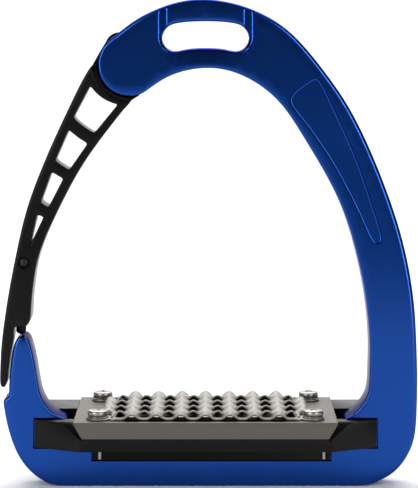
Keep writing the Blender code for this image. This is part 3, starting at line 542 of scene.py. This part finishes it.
acetal, tree, shader, place = surface("natural_acetal", IOR=1.48)
haze = add(tree, "ShaderNodeTexNoise", {"Vector": place, "Scale": 400.0, "Detail": 2.0})
tone = add(tree, "ShaderNodeMix", {"Factor": haze.outputs["Fac"], "A": linear("DEDDD8"),
                                   "B": linear("EAE9E4")}, data_type="RGBA")
rough = add(tree, "ShaderNodeMapRange", {"Value": haze.outputs["Fac"], "To Min": 0.35, "To Max": 0.5})
tree.links.new(tone.outputs["Result"], shader.inputs["Base Color"])
tree.links.new(rough.outputs["Result"], shader.inputs["Roughness"])

nodes = frame["nodes"]
for node, material in (("hinge_pin", steel), ("hinge_bush", bronze), ("thrust_washer_front", acetal),
                       ("thrust_washer_rear", acetal)):
    nodes[node].data.materials.clear()
    nodes[node].data.materials.append(material)

nose = [(0.35, 0.0), (0.9, 0.1), (1.3, 0.28), (1.62, 0.6), (1.75, 1.0), (1.75, 4.25), (1.6, 4.4), (1.3, 4.5),
        (1.25, 4.8), (1.25, 12.8), (1.05, 13.0), (0.3, 13.0)]
plunger = turned("catch_plunger_moulded", nose, TIP, SLIDE, 40)
finish(plunger, nylon, "plunger", "black_nylon_soft", "catch_plunger")
cross_pin = turned("catch_cross_pin_domed", [(0.3, -6.35), (0.9, -6.3), (1.35, -6.12), (1.6, -5.8),
                                             (1.6, 5.8),
                                             (1.35, 6.12), (0.9, 6.3), (0.3, 6.35)], CROSS_PIN, (0, 1, 0), 40)
finish(cross_pin, dark_steel, "arm", "dark_steel", "catch_cross_pin")

# The spring is wound from hard drawn wire.  Its upper end bears on the bore, and the coil closes up
# towards it as the plunger is pushed in.
SPRING_FROM, SPRING_TO = 13.25, 21.6
COIL_R, WIRE_R, COILS = 0.95, 0.25, 6
across_bore = np.array([SLIDE[2], 0.0, -SLIDE[0]])
t = np.linspace(0.0, 1.0, COILS * 24 + 1)[:, None, None]
turn = 2.0 * np.pi * COILS * t
wire = np.linspace(0.0, 2.0 * np.pi, 8, endpoint=False)[None, :, None]
spoke = np.cos(turn) * across_bore + np.sin(turn) * np.array([0.0, 1.0, 0.0])
climb = SPRING_FROM + WIRE_R + (SPRING_TO - SPRING_FROM - 2.0 * WIRE_R) * t
spring = loft("catch_spring_coiled", TIP + spoke * (COIL_R + WIRE_R * np.cos(wire))
              + SLIDE * (climb + WIRE_R * np.sin(wire)), crease=60.0)
finish(spring, steel, "arm", "bright_steel", "catch_spring")
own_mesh(spring)

# -------------------------------------------------------------------- carrier
# Two moulded halves, black glass-filled nylon, clamp the foot bar from front and back and carry the
# tray.  Their wings run out to the bow's faces with crisp, slightly broken edges.


def softened(node, name, width, steps=2):
    """A merged copy of a CAD node with its edges broken by a small bevel."""
    edit = bmesh.new()
    edit.from_mesh(nodes[node].data)
    bmesh.ops.remove_doubles(edit, verts=edit.verts, dist=2e-6)
    bmesh.ops.dissolve_limit(edit, angle_limit=math.radians(1.0), verts=edit.verts, edges=edit.edges)
    mesh = bpy.data.meshes.new(name)
    edit.to_mesh(mesh)
    edit.free()
    made = bpy.data.objects.new(name, mesh)
    bpy.context.scene.collection.objects.link(made)
    bevel = made.modifiers.new("broken_edges", "BEVEL")
    bevel.width, bevel.segments, bevel.limit_method = width * MM, steps, "ANGLE"
    bevel.angle_limit = math.radians(25.0)
    bevel.use_clamp_overlap = True
    bevel.harden_normals = True
    mesh.shade_smooth()
    return made


for node, body in (("carrier_front", "frame"), ("carrier_rear", "frame")):
    half = softened(node, f"{node}_moulded", 0.3)
    finish(half, nylon, body, "carrier_nylon", node)

# ----------------------------------------------------------------------- tray
# The tray is 1.5 mm steel sheet, blanked, folded down front and back and bead blasted, which leaves
# an even taupe grey.  The fold's ends are cut on a slant.

TRAY_HALF_Y, TRAY_TOP, TRAY_LOW, SHEET = 25.95, 26.0, 20.3, 1.5
TRAY_HALF_X, TRAY_FOOT_X = 45.3, 42.3
FOLD = 0.4
WINDOW_X, WINDOW_Y = 28.0, 23.6
turn = np.radians(np.linspace(0.0, 90.0, 6))[1:-1]
fold_y = TRAY_HALF_Y - FOLD + FOLD * np.cos(turn)
fold_z = TRAY_TOP - FOLD + FOLD * np.sin(turn)
lip_z = np.linspace(TRAY_LOW, TRAY_TOP - FOLD, 5)
deck_y = np.array([TRAY_HALF_Y - FOLD, WINDOW_Y, 21.3, 18.8, 16.3, 12.0, 6.0])
side_y = np.concatenate([np.full(5, TRAY_HALF_Y), fold_y, deck_y])
side_z = np.concatenate([lip_z, fold_z, np.full(len(deck_y), TRAY_TOP)])
section_y = np.concatenate([-side_y, [0.0], side_y[::-1]])
section_z = np.concatenate([side_z, [TRAY_TOP], side_z[::-1]])
inner_x = np.array([0.0, 8.0, 16.0, 24.0, WINDOW_X])
outer_t = np.array([0.15, 0.34, 0.5263, 0.72, 0.88, 1.0])
section_x = TRAY_FOOT_X + (TRAY_HALF_X - TRAY_FOOT_X) * np.clip((section_z - TRAY_LOW) / 5.1, 0.0, 1.0)
right = np.concatenate([np.broadcast_to(inner_x, (len(section_x), 5)),
                        WINDOW_X + (section_x[:, None] - WINDOW_X) * outer_t], axis=1)
across = np.concatenate([-right[:, :0:-1], right], axis=1)
grid_y = np.broadcast_to(section_y[:, None], across.shape)
grid_z = np.broadcast_to(section_z[:, None], across.shape)
tray_points = np.stack([across, grid_y, grid_z], axis=2)
n, m = across.shape
j, i = np.meshgrid(np.arange(n - 1), np.arange(m - 1), indexing="ij")
centre = 0.25 * (tray_points[:-1, :-1] + tray_points[1:, :-1] + tray_points[:-1, 1:] + tray_points[1:, 1:])
solid = ~((np.abs(centre[..., 0]) < WINDOW_X) & (np.abs(centre[..., 1]) < WINDOW_Y))
quads = np.stack([j * m + i, j * m + i + 1, (j + 1) * m + i + 1, (j + 1) * m + i], axis=2)[solid]
tray = stored("tread_tray_folded", tray_points.reshape(-1, 3), quads.tolist())
wall = tray.modifiers.new("sheet", "SOLIDIFY")
wall.thickness, wall.offset, wall.use_even_offset = SHEET * MM, -1.0, True
edge = tray.modifiers.new("deburred", "BEVEL")
edge.width, edge.segments, edge.limit_method, edge.angle_limit = 0.18 * MM, 2, "ANGLE", math.radians(50.0)
edge.harden_normals = True

# Bead-blasted steel: matt, slightly warm grey, speckled where the beads struck.  Marks are drawn at
# 0.35 mm, a little over their real 0.2 mm.
blasted, tree, shader, place = surface("steel_bead_blasted", Metallic=0.85)
marks = add(tree, "ShaderNodeTexNoise", {"Vector": place, "Scale": 1900.0, "Detail": 3.0, "Roughness": 0.7})
shade = add(tree, "ShaderNodeTexNoise", {"Vector": place, "Scale": 45.0, "Detail": 2.0})
tone = add(tree, "ShaderNodeMix", {"Factor": marks.outputs["Fac"], "A": linear("5A5650"),
                                   "B": linear("68645D")}, data_type="RGBA")
drift = add(tree, "ShaderNodeMix", {"Factor": shade.outputs["Fac"], "A": tone.outputs["Result"],
                                    "B": linear("615D58")}, data_type="RGBA")
rough = add(tree, "ShaderNodeMapRange", {"Value": marks.outputs["Fac"], "To Min": 0.42, "To Max": 0.56})
bump = add(tree, "ShaderNodeBump", {"Height": marks.outputs["Fac"], "Strength": 0.25, "Distance": 0.0001})
tree.links.new(drift.outputs["Result"], shader.inputs["Base Color"])
tree.links.new(rough.outputs["Result"], shader.inputs["Roughness"])
tree.links.new(bump.outputs["Normal"], shader.inputs["Normal"])
finish(tray, blasted, "frame", "tray_sheet", "tread_tray")

# ---------------------------------------------------------------- tread plate
# The tread is thin stainless sheet, lanced on cross lines and pressed into waves, so that each strip
# ends in arches over the troughs of the next.  The arches' cut edges are what grips the boot.

PITCH = 8.47             # between the arches of one row
STRIP = 10.5             # from one lanced line to the next
FIRST_CUT = -18.0
PLATE_MID, RISE, PLATE_SHEET = 27.55, 1.3, 0.62
PLATE_X, PLATE_Y = 36.0, 22.8
NECK_Y, NECK_X = 12.5, 32.6        # beyond this y the sheet is narrower, to clear the screws
CALM_X, CALM_NECK_X, CALM_RAMP = 35.0, 30.4, 1.4   # where the waves die out towards the sides
SIDE_DROP = 0.85         # how far the flat sides lie below the middle of the waves
TROUGH_SHARE, TROUGH_FLAT = 0.72, 1.9    # troughs are shallower than the arches, with flat floors
LIP_SWING = 0.72         # the front strip starts this far into its arches
cuts = np.concatenate([[-PLATE_Y], FIRST_CUT + STRIP * np.arange(4), [PLATE_Y]])
plate_points, plate_faces, count = [], [], 0
columns = 2 * 86 + 1
x = np.linspace(-PLATE_X, PLATE_X, columns)
for number, (near, far) in enumerate(zip(cuts, cuts[1:])):
    rows = 7 if number in (0, 4) else 13
    y = np.linspace(near, far, rows)
    gx, gy = np.meshgrid(x, y)
    swing = -1.0 + 2.0 * step_up(((gy - FIRST_CUT) % STRIP if number else 0.55 * STRIP + gy - near) / STRIP)
    swing = np.where(gy == far, 1.0, swing)
    swing = np.where(number == 0, np.maximum(
        swing, LIP_SWING + (1.0 - LIP_SWING) * (gy - near) / (far - near)), swing)
    wave = np.cos(2.0 * np.pi * gx / PITCH)
    wave = np.where(wave * swing > 0.0, wave, np.tanh(TROUGH_FLAT * wave) / math.tanh(TROUGH_FLAT))
    calm_edge = 1.0 - step_up((np.abs(gx) - np.where(np.abs(gy) < NECK_Y, CALM_X, CALM_NECK_X)) / CALM_RAMP)
    height = PLATE_MID + calm_edge * RISE * wave * swing * np.where(wave * swing < 0.0, TROUGH_SHARE, 1.0)
    height -= (1.0 - calm_edge) * SIDE_DROP
    keep = (np.abs(0.5 * (gx[1:, 1:] + gx[:-1, :-1])) < np.where(
        np.abs(0.5 * (gy[1:, 1:] + gy[:-1, :-1])) < NECK_Y, PLATE_X, NECK_X))
    plate_points.append(np.stack([gx, gy, height], axis=2).reshape(-1, 3))
    j, i = np.meshgrid(np.arange(rows - 1), np.arange(columns - 1), indexing="ij")
    cell = count + j * columns + i
    plate_faces.append(np.stack([cell, cell + 1, cell + columns + 1, cell + columns], axis=2)[keep])
    count += rows * columns
# Flat ears lie under the screws.  Each is drawn out on its inner side, to overlap the sheet's edge.
EAR_R, EAR_HOLE_R, EAR_TOP, EAR_POINTS = 4.0, 1.7, 26.7, 48
EAR_REACH, EAR_REACH_FROM = 1.6, -0.3
corner_names = [("front_left", -37.1, -18.8, 25.0), ("front_right", 37.1, -18.8, 62.0),
                ("rear_left", -37.1, 18.8, 8.0), ("rear_right", 37.1, 18.8, 48.0)]
turn = np.linspace(0.0, 2.0 * np.pi, EAR_POINTS, endpoint=False)
spot = np.arange(EAR_POINTS)
after = (spot + 1) % EAR_POINTS
for name, ear_x, ear_y, twist in corner_names:
    reach_in = np.where(np.cos(turn) * np.sign(ear_x) < EAR_REACH_FROM, EAR_REACH, 0.0)
    rim = np.stack([ear_x + (EAR_R + reach_in) * np.cos(turn), ear_y + EAR_R * np.sin(turn)], axis=1)
    hole = np.stack([ear_x + EAR_HOLE_R * np.cos(turn), ear_y + EAR_HOLE_R * np.sin(turn)], axis=1)
    flat = np.concatenate([hole, rim])
    plate_points.append(np.column_stack([flat, np.full(len(flat), EAR_TOP)]))
    plate_faces.append(count + np.stack([spot, EAR_POINTS + spot, EAR_POINTS + after, after], axis=1))
    count += len(flat)
strips = bpy.data.meshes.new("tread_plate_lanced")
strips.from_pydata(np.concatenate(plate_points).tolist(), [], np.concatenate(plate_faces).tolist())
edit = bmesh.new()
edit.from_mesh(strips)
bmesh.ops.delete(edit, geom=[v for v in edit.verts if not v.link_faces], context="VERTS")
bmesh.ops.scale(edit, vec=(MM, MM, MM), verts=edit.verts)
edit.to_mesh(strips)
edit.free()
tread = bpy.data.objects.new("tread_plate_lanced", strips)
bpy.context.scene.collection.objects.link(tread)
strips.shade_smooth()
wall = tread.modifiers.new("sheet", "SOLIDIFY")
wall.thickness, wall.offset = PLATE_SHEET * MM, -1.0
edge = tread.modifiers.new("lanced_edge", "BEVEL")
edge.width, edge.segments, edge.limit_method, edge.angle_limit = 0.12 * MM, 1, "ANGLE", math.radians(60.0)

# Stainless sheet as pressed: pale and satin, with a painted highlight that lightens its convex crests and cut
# edges.
pressed, tree, shader, place = surface("stainless_sheet_pressed", Metallic=1.0)
skin = add(tree, "ShaderNodeTexNoise", {"Vector": place, "Scale": 1600.0, "Detail": 4.0})
crest_geometry = add(tree, "ShaderNodeNewGeometry")
# painted highlight: the mesh's pointiness picks out convex crests and cut edges, which are mixed towards a
# paler grey
painted_highlight_mask = add(tree, "ShaderNodeMapRange", {"Value": crest_geometry.outputs["Pointiness"],
                                         "From Min": 0.5, "From Max": 0.62})
tone = add(tree, "ShaderNodeMix", {"Factor": skin.outputs["Fac"], "A": linear("75726C"),
                                   "B": linear("86837D")}, data_type="RGBA")
painted_highlight = add(tree, "ShaderNodeMix", {"Factor": painted_highlight_mask.outputs["Result"], "A": tone.outputs["Result"],
                                     "B": linear("9E9B95")}, data_type="RGBA")
rough = add(tree, "ShaderNodeMapRange", {"Value": skin.outputs["Fac"], "To Min": 0.45, "To Max": 0.6})
bump = add(tree, "ShaderNodeBump", {"Height": skin.outputs["Fac"], "Strength": 0.15, "Distance": 0.0001})
tree.links.new(painted_highlight.outputs["Result"], shader.inputs["Base Color"])
tree.links.new(rough.outputs["Result"], shader.inputs["Roughness"])
tree.links.new(bump.outputs["Normal"], shader.inputs["Normal"])
finish(tread, pressed, "frame", "tread_steel", "tread_plate")

# -------------------------------------------------- tread screws and inserts
# Stainless pan-head machine screws with a cross recess hold the tread's ears.  They pass through the
# tray into brass inserts in the carrier, over a thin washer.

HEAD_R, SCREW_R, SCREW_LOW = 3.5, 1.5, 18.9
HEAD_HEIGHT, DOME_DROP = 2.2, 0.5
CROSS_REACH, CROSS_HALF, CROSS_DEPTH = 1.45, 0.26, 0.75
SEAT = EAR_TOP + 0.6     # underside of the heads, just clear of the washers


def screw_head(r, a, twist):
    """Height of a pan head at a radius and angle: a flat dome less a cross with sloping walls."""
    dome = HEAD_HEIGHT - DOME_DROP * (r / HEAD_R) ** 2.4
    x, y = r * np.cos(a - twist), r * np.sin(a - twist)
    arm = np.minimum(np.where(np.abs(x) < 1.75, np.abs(y), 9.0), np.where(np.abs(y) < 1.75, np.abs(x), 9.0))
    return dome - CROSS_DEPTH * ((1.0 - step_up((arm - CROSS_HALF) / 0.22))
                                 * (1.0 - step_up((r - CROSS_REACH) / 0.35)))


for name, x0, y0, twist in corner_names:
    sides = 96
    a = np.linspace(0.0, 2.0 * np.pi, sides, endpoint=False)
    dome_r = np.concatenate([[0.02], np.linspace(0.14, 2.0, 15), np.linspace(2.2, HEAD_R - 0.35, 6)])
    r, turn = np.meshgrid(dome_r, a, indexing="ij")
    top = SEAT + screw_head(r, turn, math.radians(twist))
    rim = np.array([(HEAD_R - 0.14, SEAT + 1.6), (HEAD_R - 0.03, SEAT + 1.42), (HEAD_R, SEAT + 1.2),
                    (HEAD_R, SEAT + 0.2), (HEAD_R - 0.12, SEAT + 0.02), (SCREW_R, SEAT),
                    (SCREW_R, SCREW_LOW + 0.4), (SCREW_R - 0.35, SCREW_LOW)])
    radius = np.concatenate([r, np.broadcast_to(rim[:, :1], (len(rim), sides))])
    height = np.concatenate([top, np.broadcast_to(rim[:, 1:], (len(rim), sides))])
    turn = np.broadcast_to(a, radius.shape)
    places = np.stack([x0 + radius * np.cos(turn), y0 + radius * np.sin(turn), height], axis=2)
    screw = loft(f"tread_screw_{name}_cross", places, crease=50.0)
    finish(screw, steel, "frame", "screw_steel", f"tread_screw_{name}")
    ring = [(1.7, EAR_TOP + 0.12), (3.6, EAR_TOP + 0.12), (3.72, EAR_TOP + 0.2), (3.72, EAR_TOP + 0.44),
            (3.62, EAR_TOP + 0.52), (1.7, EAR_TOP + 0.52)]
    washer = turned(f"washer_{name}_stamped", ring, (x0, y0, 0.0), (0, 0, 1), closed=True)
    finish(washer, steel, "frame", "bright_steel", f"washer_{name}")
    nodes[f"insert_{name}"].data.materials.clear()
    nodes[f"insert_{name}"].data.materials.append(brass)

# ------------------------------------------------------------------ stay pins
# Short ground steel pins with rounded ends keep each carrier half from creeping along the foot bar.

PIN_R, PIN_LOW, PIN_TOP = 0.65, 9.6, 17.3
for face, y0 in (("front", -8.4), ("rear", 8.4)):
    for hand, x0 in (("left", -37.0), ("right", 41.4)):
        profile = [(0.15, PIN_LOW), (0.4, PIN_LOW + 0.08), (PIN_R, PIN_LOW + 0.35), (PIN_R, PIN_TOP - 0.3),
                   (0.4, PIN_TOP - 0.05), (0.15, PIN_TOP)]
        pin = turned(f"stay_pin_{face}_{hand}_ground", profile, (x0, y0, 0.0), (0, 0, 1), 24)
        finish(pin, steel, "frame", "bright_steel", f"stay_pin_{face}_{hand}")

# -------------------------------------------------------------- floor and light
# A pale floor that sweeps up behind, two tall soft boxes that draw the edges, and a broad one above.


def sweep(u):
    """Side line of the floor: flat, then a quarter circle up to an upright wall."""
    turn = np.clip((u - 1.6) / 0.9, 0.0, 1.0) * np.pi / 2.0
    y = np.where(u < 1.6, u, 1.6 + 0.6 * np.sin(turn))
    z = 0.6 * (1.0 - np.cos(turn)) + np.clip(u - 2.5, 0.0, None)
    return y, z


u = np.linspace(-1.6, 4.0, 60)
y, z = sweep(u)
gx, gy = np.meshgrid(np.linspace(-3.0, 3.0, 9), y)
gz = np.broadcast_to(z[:, None], gx.shape)
j, i = np.meshgrid(np.arange(59), np.arange(8), indexing="ij")
cell = j * 9 + i
floor_mesh = bpy.data.meshes.new("pale_floor")
floor_mesh.from_pydata(np.stack([gx, gy, gz - 0.0001], axis=2).reshape(-1, 3).tolist(), [],
                       np.stack([cell, cell + 1, cell + 10, cell + 9], axis=2).reshape(-1, 4).tolist())
floor_mesh.shade_smooth()
floor = bpy.data.objects.new("pale_floor", floor_mesh)
bpy.context.scene.collection.objects.link(floor)
paper, tree, shader, place = surface("white_paper", Roughness=0.9)
mottle = add(tree, "ShaderNodeTexNoise", {"Vector": place, "Scale": 3.0})
tone = add(tree, "ShaderNodeMix", {"Factor": mottle.outputs["Fac"], "A": linear("F6F6F6"),
                                   "B": linear("FAFAFA")}, data_type="RGBA")
tree.links.new(tone.outputs["Result"], shader.inputs["Base Color"])
floor_mesh.materials.append(paper)


def soft_box(name, at, aim, size, power):
    """A rectangular lamp, square to the line from its place to its aim."""
    lamp = bpy.data.lights.new(name, "AREA")
    lamp.shape, lamp.size, lamp.size_y, lamp.energy = "RECTANGLE", size[0], size[1], power
    held = bpy.data.objects.new(name, lamp)
    held.location = at
    held.rotation_euler = (Vector(aim) - Vector(at)).to_track_quat("-Z", "Y").to_euler()
    bpy.context.scene.collection.objects.link(held)


middle = (0.0, 0.0, 0.08)
soft_box("left_box", (-0.68, -0.86, 0.35), middle, (0.2, 1.1), 8.0)
soft_box("right_box", (0.68, -0.86, 0.35), middle, (0.2, 1.1), 7.0)
soft_box("top_box", (0.0, 0.45, 0.8), middle, (0.9, 0.7), 6.0)
soft_box("back_box", (0.0, 1.2, 1.5), (0.0, 1.6, 0.1), (2.6, 1.0), 34.0)

world = bpy.data.worlds.new("studio")
world.use_nodes = True
world.node_tree.nodes["Background"].inputs["Color"].default_value = (1.0, 1.0, 1.0, 1.0)
world.node_tree.nodes["Background"].inputs["Strength"].default_value = 0.12
bpy.context.scene.world = world
bpy.context.scene.view_settings.view_transform = "Standard"

camera = bpy.data.cameras.new("camera")
camera.lens, camera.sensor_width = 165.95, 36.0
camera.clip_start, camera.clip_end = 0.05, 20.0
shot = bpy.data.objects.new("camera", camera)
shot.location = (0.00121, -0.7839, 0.1670)
shot.rotation_euler = (math.radians(90.0 - 5.99), 0.0, 0.0)
bpy.context.scene.collection.objects.link(shot)
bpy.context.scene.camera = shot
